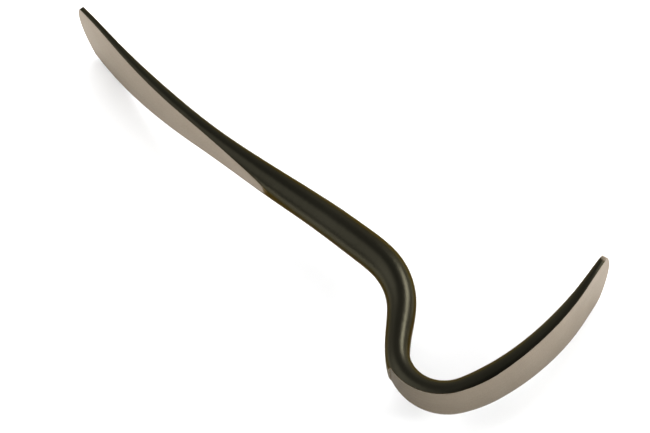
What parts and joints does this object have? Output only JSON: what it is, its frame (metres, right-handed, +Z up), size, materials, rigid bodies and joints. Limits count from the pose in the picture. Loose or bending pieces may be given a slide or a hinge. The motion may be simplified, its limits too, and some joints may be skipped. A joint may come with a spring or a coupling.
{
  "type": "tyre lever",
  "caption": "Forged steel lever bent to an S, with a broad spoon blade at the end of a long arm, a round grip and a hooked spoon blade; black coat, bare ground outer faces.",
  "frame": {"origin": "centre of the footprint, on the surface the lever lies on", "axes": "the lever lies flat on the lower edges of its two blades; X runs along the long arm, from the long blade at -X to the hooked blade at +X; Y is the way the hooked blade's tip points; Z is up, across the blades' width"},
  "size_m": [0.3719, 0.1318, 0.0515],
  "materials": {
    "ground_steel": "ground and lightly polished",
    "black_coat": "satin black"
  },
  "bodies": {
    "root": {"steel_forging": "ground_steel", "black_coat": "black_coat"}
  },
  "joints": []
}
